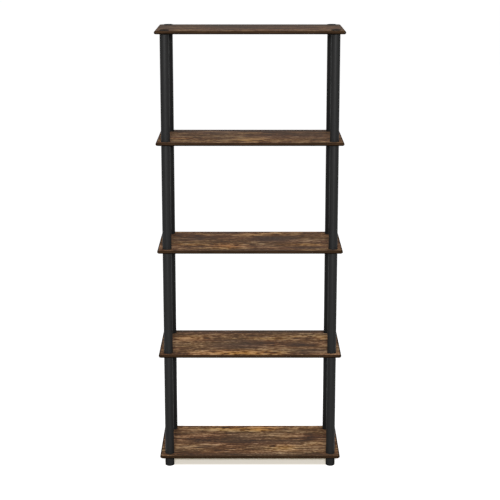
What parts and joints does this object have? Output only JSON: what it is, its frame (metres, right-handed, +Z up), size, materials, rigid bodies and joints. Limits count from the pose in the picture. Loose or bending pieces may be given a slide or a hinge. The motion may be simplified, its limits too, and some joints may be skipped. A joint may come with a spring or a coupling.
{
  "type": "bookcase",
  "caption": "Free-standing open bookcase of wood-print shelf boards carried by black tube columns that screw together through the boards, with thin caps and short round feet.",
  "frame": {"origin": "on the floor, under the middle of the bookcase", "axes": "+Z up along the columns, +X to the right as seen from the front, -Y towards the front"},
  "size_m": [0.6, 0.295, 1.4488],
  "materials": {
    "wood_print_board": "satin wood-grain print on a wood-based board",
    "edge_band": "matt brown edge strip",
    "black_tube": "satin black extruded tube",
    "black_fitting": "satin black moulding"
  },
  "bodies": {
    "root": {"bottom_shelf_board": "wood_print_board", "bottom_shelf_edge_band": "edge_band", "second_shelf_board": "wood_print_board", "second_shelf_edge_band": "edge_band", "middle_shelf_board": "wood_print_board", "middle_shelf_edge_band": "edge_band", "fourth_shelf_board": "wood_print_board", "fourth_shelf_edge_band": "edge_band", "top_shelf_board": "wood_print_board", "top_shelf_edge_band": "edge_band", "tube_tier_1_front_left": "black_tube", "tube_tier_1_front_right": "black_tube", "tube_tier_1_back_left": "black_tube", "tube_tier_1_back_right": "black_tube", "stud_plugs_tier_1": "black_fitting", "socket_plugs_tier_1": "black_fitting", "tube_tier_2_front_left": "black_tube", "tube_tier_2_front_right": "black_tube", "tube_tier_2_back_left": "black_tube", "tube_tier_2_back_right": "black_tube", "stud_plugs_tier_2": "black_fitting", "socket_plugs_tier_2": "black_fitting", "tube_tier_3_front_left": "black_tube", "tube_tier_3_front_right": "black_tube", "tube_tier_3_back_left": "black_tube", "tube_tier_3_back_right": "black_tube", "stud_plugs_tier_3": "black_fitting", "socket_plugs_tier_3": "black_fitting", "tube_tier_4_front_left": "black_tube", "tube_tier_4_front_right": "black_tube", "tube_tier_4_back_left": "black_tube", "tube_tier_4_back_right": "black_tube", "stud_plugs_tier_4": "black_fitting", "socket_plugs_tier_4": "black_fitting", "cap_front_left": "black_fitting", "foot_front_left": "black_fitting", "cap_front_right": "black_fitting", "foot_front_right": "black_fitting", "cap_back_left": "black_fitting", "foot_back_left": "black_fitting", "cap_back_right": "black_fitting", "foot_back_right": "black_fitting"}
  },
  "joints": []
}
